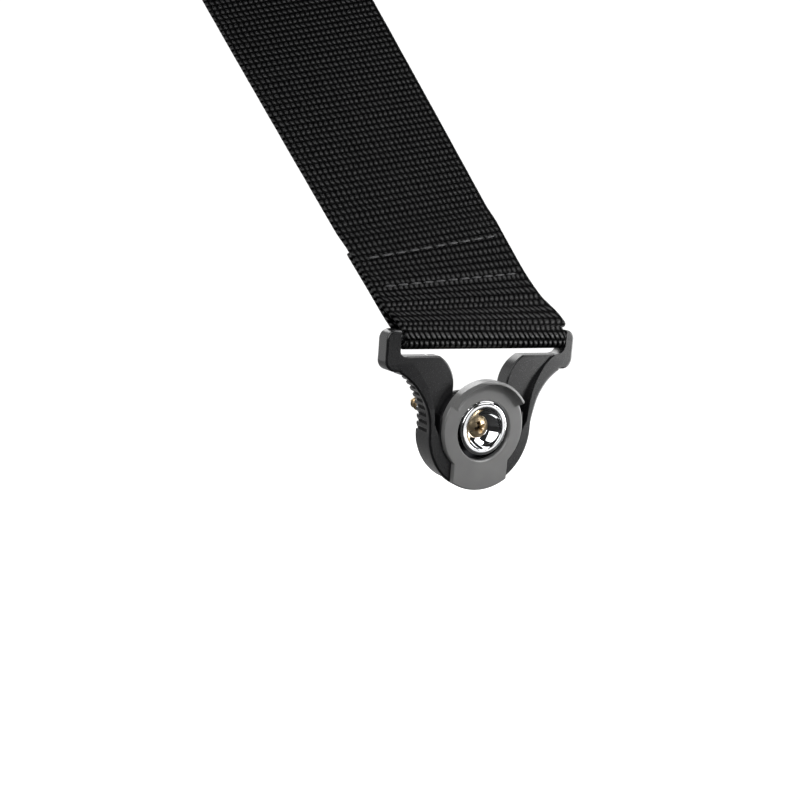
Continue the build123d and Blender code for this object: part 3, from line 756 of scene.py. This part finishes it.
face_step = 0.45
washer_profile = (
    arc((7.25, 0), (7.5, 0.1), (7.6, 0.35), 5)
    + arc((7.6, 1.15), (7.5, 1.4), (7.25, washer_top), 5)
    + [(7.25 - face_step * step, washer_top) for step in range(11)]
    + arc((2.5, washer_top), (2.36, 1.44), (2.3, 1.3), 3)
    + arc((2.3, 0.2), (2.36, 0.06), (2.5, 0), 3)
    + [(2.75 + face_step * step, 0) for step in range(10)]
)
felt_washer = turned("felt_washer_punching", washer_profile, 200)
fuzz_size = 0.55 * mm
fuzz_depth = 0.05
for point in felt_washer.data.vertices:
    fuzz = noise.fractal(point.co / fuzz_size, 0.7, 2.1, 3) * fuzz_depth * mm
    outward = Vector((point.co.x, 0, point.co.z)).normalized()
    point.co -= outward * abs(fuzz)
felt, tree, shader = blank_material("black_felt")
shader.inputs["Sheen Weight"].default_value = 0.6
shader.inputs["Sheen Roughness"].default_value = 0.6
shader.inputs["Specular IOR Level"].default_value = 0.2
place = node(tree, "ShaderNodeTexCoord").outputs["Object"]
fibres = noise_texture(tree, place, 3.2 / mm, 6.0, Roughness=0.75, Distortion=1.5)
tone = toned(tree, fibres, (0.006, 0.006, 0.007), (0.035, 0.034, 0.034), 0.3, 0.75)
join(tree, tone, shader.inputs["Base Color"])
join(tree, mapped(tree, fibres, 0.3, 0.7, 0.85, 1.0), shader.inputs["Roughness"])
raised(tree, shader, fibres, 0.8, 0.12 * mm)
finished(felt_washer, felt, "button", "washer_felt", "felt_washer")

# ---------------------------------------------------------------------------------------
# Webbing. Black nylon webbing, woven in crosswise ribs with a firm selvedge. One piece
# goes round the bar, up to the ring and round that, and each end is sewn down behind.
# ---------------------------------------------------------------------------------------
webbing_width = 48.5
webbing_thickness = 1.2
half_width = webbing_width / 2
half_thickness = webbing_thickness / 2
rib_pitch = 1.9
yarn_pitch = 1.55
lower_tail = 31.0
upper_tail = 128.0
ring_run = 153.0
lower_loop = 2.15
upper_loop = 2.5
lower_turn = pi * lower_loop
upper_turn = pi * upper_loop
cloth_length = lower_tail + lower_turn + ring_run + upper_turn + ring_run - upper_tail
ring_swing = next(joint for joint in frame["joints"] if joint["name"] == "ring_swing")
ring_bar = Vector(ring_swing["pos_m"]) / mm
bar_low, bar_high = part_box("strap_bar")
bar = Vector((0.3, (bar_low.y + bar_high.y) / 2 / mm, (bar_low.z + bar_high.z) / 2 / mm))
run = (ring_bar - bar).normalized()

# How far each layer is from the webbing's middle, at lengths along it from the bar
back_offsets = [
    (0, lower_loop),
    (5, 1.35),
    (11, half_thickness),
    (143, half_thickness),
    (148, 1.6),
    (ring_run, upper_loop),
]
single_layer = [(lower_tail, half_thickness), (38, 0), (121, 0), (upper_tail, half_thickness)]
front_offsets = back_offsets[:3] + single_layer + back_offsets[3:]


def across_webbing(along):
    """The direction across the webbing: along the bar at the bar, then rolling with the run."""
    level_width = (Vector((1, 0, 0)) - run * run.x).normalized()
    roll = radians(-2.5 + 0.123 * along)
    rolled = level_width * cos(roll) + level_width.cross(run) * sin(roll)
    share = min(along / 28, 1)
    return (Vector((1, 0, 0)) * (1 - share) + rolled * share).normalized()


def backward_of(across):
    """The direction out of the webbing's back, from the direction across it."""
    return run.cross(across).normalized()


def smooth(share):
    """A share kept between 0 and 1 that leaves both ends gently."""
    share = min(max(share, 0), 1)
    return share * share * (3 - 2 * share)


def eased(knots, along):
    """The offset of a layer from the webbing's middle, eased from one knot to the next."""
    for (start, low), (end, high) in zip(knots, knots[1:]):
        if along <= end:
            return low + (high - low) * smooth((along - start) / (end - start))
    return knots[-1][1]


def webbing_point(length):
    """The middle of the cloth at a length along it, and the direction across it there.

    It starts at the tail behind the lower seam and ends at the one behind the upper seam."""
    past = 0
    if length < lower_tail:
        along = lower_tail - length
        offset = eased(back_offsets, along)
    elif length < lower_tail + lower_turn:
        turn = (length - lower_tail) / lower_loop
        along, offset, past = 0, lower_loop * cos(turn), -lower_loop * sin(turn)
    elif length < lower_tail + lower_turn + ring_run:
        along = length - lower_tail - lower_turn
        offset = -eased(front_offsets, along)
    elif length < lower_tail + lower_turn + ring_run + upper_turn:
        turn = (length - lower_tail - lower_turn - ring_run) / upper_loop
        along, offset, past = ring_run, -upper_loop * cos(turn), upper_loop * sin(turn)
    else:
        along = 2 * ring_run + lower_tail + lower_turn + upper_turn - length
        offset = eased(back_offsets, along)
    across = across_webbing(along)
    backward = backward_of(across)
    onward = across.cross(backward)
    return bar + run * along + backward * offset + onward * past, across


right_stray = 0.2
left_stray = -1.0
slack_start = 1.7
slack_run = 22.1
slack_size = 9.9


def selvedge_stray(length, wide):
    """How far a selvedge strays outwards: drawn in round the bar, and slack just past it.

    Wide is positive on the right, where the front layer is slack above the lock's ear."""
    along = abs(length - lower_tail - lower_turn / 2) - lower_turn / 2
    stray = (right_stray if wide > 0 else left_stray) * (1 - smooth((along - 4) / 7))
    reach = (along - slack_start) / slack_run
    if wide > 0 and length > lower_tail + lower_turn and 0 < reach < 1:
        stray += slack_size * reach**0.4 * (1 - reach) ** 3.6
    return stray + 0.06 * noise.noise((length / 7, wide * 5.0, 0))


# The cloth's section: the face inside its loops, a rounded edge, the outer face, an edge
face_reach = half_width - half_thickness
edge_steps = 6
face_steps = 34
section_points = []
for side in (1, -1):
    for step in range(face_steps + 1):
        share = 2 * step / face_steps - 1
        section_points.append((side * share * face_reach, side))
    for step in range(1, edge_steps):
        turn = pi / 2 - pi * step / edge_steps
        section_points.append((side * (face_reach + half_thickness * cos(turn)), side * sin(turn)))
stations_per_rib = 6
stations = round(cloth_length / rib_pitch) * stations_per_rib
selvedge_width = 1.5
near = 0.2
cloth = bmesh.new()
cloth_map = cloth.loops.layers.uv.new("cloth_mm")
rows = []
for station in range(stations + 1):
    length = cloth_length * station / stations
    middle, across = webbing_point(length)
    ahead = webbing_point(min(length + near, cloth_length))[0]
    behind = webbing_point(max(length - near, 0))[0]
    inward = (ahead - behind).normalized().cross(across).normalized()
    beat = abs(sin(pi * length / rib_pitch)) ** 0.55
    row = []
    for wide, high in section_points:
        firm = 0.26 if abs(wide) < half_width - selvedge_width else 0.1
        thick = half_thickness * (1 - firm * (1 - beat)) * high
        stray = selvedge_stray(length, wide) * (abs(wide) / half_width) ** 3
        spread = wide * (1 - 0.002 * (1 - beat)) + (stray if wide > 0 else -stray)
        row.append(cloth.verts.new((middle + across * spread + inward * thick) * mm))
    rows.append(row)
count = len(section_points)
for station in range(stations):
    for point in range(count):
        after = (point + 1) % count
        spots = ((0, point), (0, after), (1, after), (1, point))
        face = cloth.faces.new([rows[station + ahead][index] for ahead, index in spots])
        for corner, (ahead, index) in zip(face.loops, spots):
            length = cloth_length * (station + ahead) / stations
            corner[cloth_map].uv = (section_points[index][0], length)
for end in (rows[0], rows[-1]):
    cloth.faces.new(end)
bmesh.ops.recalc_face_normals(cloth, faces=cloth.faces)
webbing = skinned("webbing_strap", cloth)

# The weave: yarns lean one way on two ribs and the other way on the next two
strap_cloth, tree, shader = blank_material("black_webbing")
cloth_uv = node(tree, "ShaderNodeUVMap", uv_map="cloth_mm").outputs["UV"]
flat = node(tree, "ShaderNodeSeparateXYZ", cloth_uv).outputs
wander = noise_texture(tree, cloth_uv, 0.22, 2.0, dimensions="2D")
drift = calc(tree, "MULTIPLY", calc(tree, "SUBTRACT", wander, 0.5), 0.5)
rib = calc(tree, "DIVIDE", flat["Y"], rib_pitch)
rib_middle = calc(tree, "SUBTRACT", calc(tree, "FRACT", rib), 0.5)
pair = calc(tree, "MODULO", calc(tree, "FLOOR", calc(tree, "DIVIDE", rib, 2.0)), 2.0)
lean = calc(tree, "MULTIPLY_ADD", pair, 1.1, -0.55)
looseness = mapped(tree, flat["Y"], lower_tail + 18, lower_tail + 26, 1.0, 0.25)
lean = calc(tree, "MULTIPLY", lean, looseness)
shift = calc(tree, "MULTIPLY", lean, rib_middle)
yarn = calc(tree, "ADD", calc(tree, "DIVIDE", flat["X"], yarn_pitch), shift)
yarn = calc(tree, "ADD", yarn, drift)
strand = calc(tree, "ABSOLUTE", calc(tree, "SINE", calc(tree, "MULTIPLY", yarn, pi)))
swell = calc(tree, "ABSOLUTE", calc(tree, "SINE", calc(tree, "MULTIPLY", rib, pi)))
strand = calc(tree, "POWER", strand, 0.8)
swell = calc(tree, "POWER", swell, 0.6)
weave = calc(tree, "MULTIPLY", strand, swell)
threads = node(tree, "ShaderNodeMapping", cloth_uv)
join(tree, (9.0, 1.2, 1.0), threads.inputs["Scale"])
filament = noise_texture(tree, threads.outputs["Vector"], 1.0, 2.0, dimensions="2D")
height = calc(tree, "MULTIPLY_ADD", filament, 0.18, weave)
# Painted shade: the base colour is darkest in the grooves between yarns and ribs.
tone = toned(tree, weave, (0.0003, 0.0003, 0.0004), (0.0028, 0.0028, 0.0032), low=0.3)
join(tree, tone, shader.inputs["Base Color"])
polished = mapped(tree, flat["Y"], lower_tail + 4, lower_tail + 28, 0.5, 0.29)
shine = mapped(tree, weave, 0.45, 0.95, 0.02, polished)
join(tree, shine, shader.inputs["Specular IOR Level"])
join(tree, mapped(tree, filament, 0.3, 0.7, 0.34, 0.46), shader.inputs["Roughness"])
raised(tree, shader, height, 1.0, 0.5 * mm)
finished(webbing, strap_cloth, "strap", "strap_webbing", "webbing")

# ---------------------------------------------------------------------------------------
# Stitching. Bonded black thread in straight rows across the webbing, two rows to each sewn
# end. A lockstitch machine pulls each stitch into the cloth, so only its back stands up.
# ---------------------------------------------------------------------------------------
seam_inputs = {
    "Stitch length": "Float",
    "Stitch pitch": "Float",
    "Thread radius": "Float",
    "Thread": "Material",
}
seam, given = blank_tree("lockstitch_row", seam_inputs)
row_curve = node(seam, "GeometryNodeMeshToCurve", given["Geometry"])
beads = node(seam, "GeometryNodeCurveToPoints", row_curve.outputs["Curve"], mode="LENGTH")
join(seam, given["Stitch pitch"], beads.inputs["Length"])
bead = node(seam, "GeometryNodeMeshUVSphere", 10, 8, 1.0)
half_stitch = calc(seam, "MULTIPLY", given["Stitch length"], 0.5)
thread_radius = given["Thread radius"]
shape = node(seam, "ShaderNodeCombineXYZ", thread_radius, thread_radius, half_stitch)
sewn = node(seam, "GeometryNodeInstanceOnPoints", beads.outputs["Points"])
join(seam, bead.outputs["Mesh"], sewn.inputs["Instance"])
join(seam, beads.outputs["Rotation"], sewn.inputs["Rotation"])
join(seam, shape.outputs[0], sewn.inputs["Scale"])
ended(seam, sewn.outputs["Instances"], given["Thread"])

black_thread, tree, shader = blank_material("black_thread")
place = node(tree, "ShaderNodeTexCoord").outputs["Object"]
wave = node(tree, "ShaderNodeTexWave", place, wave_type="BANDS", bands_direction="DIAGONAL")
join(tree, 1.1 / mm, wave.inputs["Scale"])
join(tree, 1.2, wave.inputs["Distortion"])
plies = wave.outputs["Fac"]
tone = toned(tree, plies, (0.004, 0.004, 0.0045), (0.016, 0.016, 0.018))
join(tree, tone, shader.inputs["Base Color"])
join(tree, mapped(tree, plies, 0.0, 1.0, 0.45, 0.6), shader.inputs["Roughness"])
raised(tree, shader, plies, 0.5, 0.08 * mm)

stitch_pitch = 3.8
seam_margin = 1.5
stitch_count = int((webbing_width - 2 * seam_margin) / stitch_pitch)
row_reach = stitch_pitch * (stitch_count - 1) / 2
sunk_in = 0.02
for node_name, seam_rows in (
    ("lower_stitching", (17.0, 27.5)),
    ("upper_stitching", (131.0, 141.0)),
):
    points, edges = [], []
    for along in seam_rows:
        across = across_webbing(along)
        backward = backward_of(across)
        for side in (-1, 1):
            middle = bar + run * along + backward * side * (webbing_thickness - sunk_in)
            points += [(middle - across * row_reach) * mm, (middle + across * row_reach) * mm]
            edges.append((len(points) - 2, len(points) - 1))
    guide = bpy.data.meshes.new(f"{node_name}_guide")
    guide.from_pydata(points, edges, [])
    stitching = grown(
        node_name.replace("stitching", "seam_thread"),
        seam,
        mesh=guide,
        Stitch_length=3.2 * mm,
        Stitch_pitch=stitch_pitch * mm,
        Thread_radius=0.32 * mm,
        Thread=black_thread,
    )
    finished(stitching, black_thread, "strap", "strap_thread", node_name)

# ---------------------------------------------------------------------------------------
# Strap ring. Nickel-plated steel wire bent to a rounded rectangle, with its ends butt
# welded inside the webbing's upper loop. The rest of the strap goes on here.
# ---------------------------------------------------------------------------------------
ring_wire = 1.6
ring_width = 51.8 + 2 * ring_wire
ring_height = 18.0 + 2 * ring_wire
loop_inputs = {
    "Width": "Float",
    "Height": "Float",
    "Corner radius": "Float",
    "Wire radius": "Float",
    "Wire": "Material",
}
loop, given = blank_tree("bent_wire_ring", loop_inputs)
sharp = node(loop, "GeometryNodeCurvePrimitiveQuadrilateral", given["Width"], given["Height"])
bent = node(loop, "GeometryNodeFilletCurve", sharp.outputs["Curve"], mode="POLY")
join(loop, 14, bent.inputs["Count"])
join(loop, given["Corner radius"], bent.inputs["Radius"])
rod = wire_along(loop, bent.outputs["Curve"], given["Wire radius"], 28)
ended(loop, rod, given["Wire"])
nickel = worked_metal(
    "nickel_plate",
    bright=(0.66, 0.63, 0.58),
    dull=(0.5, 0.48, 0.44),
    roughness=0.12,
    spread=0.14,
    scratch=0.2,
    relief=0.006,
)
strap_ring = grown(
    "strap_ring_wire",
    loop,
    Width=ring_width * mm,
    Height=ring_height * mm,
    Corner_radius=3.4 * mm,
    Wire_radius=ring_wire * mm,
    Wire=nickel,
)
across = across_webbing(ring_run)
onward = across.cross(backward_of(across))
centre = ring_bar + onward * ring_height / 2
turn = Matrix((across, onward, across.cross(onward))).transposed().to_4x4()
strap_ring.data.transform(Matrix.Translation(centre * mm) @ turn)
finished(strap_ring, nickel, "ring", "ring_steel", "strap_ring")

# ---------------------------------------------------------------------------------------
# Studio. A pale floor well under the strap end and a room that is white behind the part.
# Softboxes stand left, right, above and behind, and a small card lights the chrome's rim.
# The camera is left of the lock's front and a little above it.
# ---------------------------------------------------------------------------------------
scene = bpy.context.scene
scene.view_settings.view_transform = "Standard"
scene.view_settings.look = "None"
white = (1.0, 1.0, 1.0, 1.0)

floor = placed("studio_floor", bpy.data.meshes.new("studio_floor"))
sheet_of_paper = bmesh.new()
bmesh.ops.create_grid(sheet_of_paper, x_segments=8, y_segments=8, size=0.45)
bmesh.ops.translate(sheet_of_paper, verts=sheet_of_paper.verts, vec=(0, 0, -0.11))
sheet_of_paper.to_mesh(floor.data)
sheet_of_paper.free()

# The camera sees the paper white. What it reflects gets darker towards the front.
paper, tree, shader = blank_material("white_paper")
shader.inputs["Specular IOR Level"].default_value = 0.1
place = node(tree, "ShaderNodeTexCoord").outputs["Object"]
depth = node(tree, "ShaderNodeSeparateXYZ", place).outputs["Y"]
tone = mapped(tree, depth, -0.02, 0.14, 0.01, 0.34)
tone = calc(tree, "MULTIPLY_ADD", noise_texture(tree, place, 40.0, 2.0), 0.01, tone)
grey = node(tree, "ShaderNodeCombineColor", tone, tone, tone).outputs[0]
join(tree, grey, shader.inputs["Base Color"])
join(tree, white, shader.inputs["Emission Color"])
direct = node(tree, "ShaderNodeLightPath").outputs["Is Camera Ray"]
join(tree, direct, shader.inputs["Emission Strength"])
floor.data.materials.append(paper)

# The room is white to the camera too. It lights the part mostly from behind and below.
room = bpy.data.worlds.new("white_room")
scene.world = room
room.use_nodes = True
tree = room.node_tree
backdrop = tree.nodes["Background"]
toward = node(tree, "ShaderNodeTexCoord").outputs["Generated"]
facing = node(tree, "ShaderNodeSeparateXYZ", toward).outputs
behind = mapped(tree, facing["Y"], -0.1, 0.45, 0.0, 1.0)
below = mapped(tree, facing["Z"], 0.3, 0.65, 1.0, 0.1)
walls = calc(tree, "MULTIPLY_ADD", calc(tree, "MULTIPLY", behind, below), 1.05, 0.025)
direct = node(tree, "ShaderNodeLightPath").outputs["Is Camera Ray"]
seen = node(tree, "ShaderNodeMix", direct, walls, 1.1, data_type="FLOAT").outputs[0]
join(tree, white, backdrop.inputs["Color"])
join(tree, seen, backdrop.inputs["Strength"])

# Each square light: its place and side in metres, and its power in watts
lit_point = Vector((0, 0, 0.03))
for name, spot, size, power in (
    ("left_softbox", (-0.42, -0.27, 0.42), 0.66, 5.3),
    ("right_softbox", (0.46, -0.24, -0.02), 0.34, 4.4),
    ("rim_card", (0.27, -0.404, -0.099), 0.11, 0.05),
    ("top_softbox", (0.28, -0.20, 0.42), 0.34, 2.4),
    ("rear_softbox", (0.10, 0.50, 0.45), 0.40, 2.0),
):
    box = bpy.data.lights.new(name, "AREA")
    box.shape = "SQUARE"
    box.size = size
    box.energy = power
    softbox = placed(name, box)
    softbox.location = spot
    aim = lit_point - Vector(spot)
    softbox.rotation_euler = aim.to_track_quat("-Z", "Y").to_euler()

lens = bpy.data.cameras.new("camera")
lens.lens = 47.25
camera = placed("camera", lens)
camera_spot = Vector((-0.1463, -0.2243, 0.0535))
view_right = Vector((0.8708, -0.4870, 0.0670))
view_back = Vector((-0.4906, -0.8520, 0.1828))
view_up = view_back.cross(view_right).normalized()
view_right = view_up.cross(view_back).normalized()
stand = Matrix((view_right, view_up, view_back.normalized())).transposed().to_4x4()
camera.matrix_world = Matrix.Translation(camera_spot) @ stand
scene.camera = camera
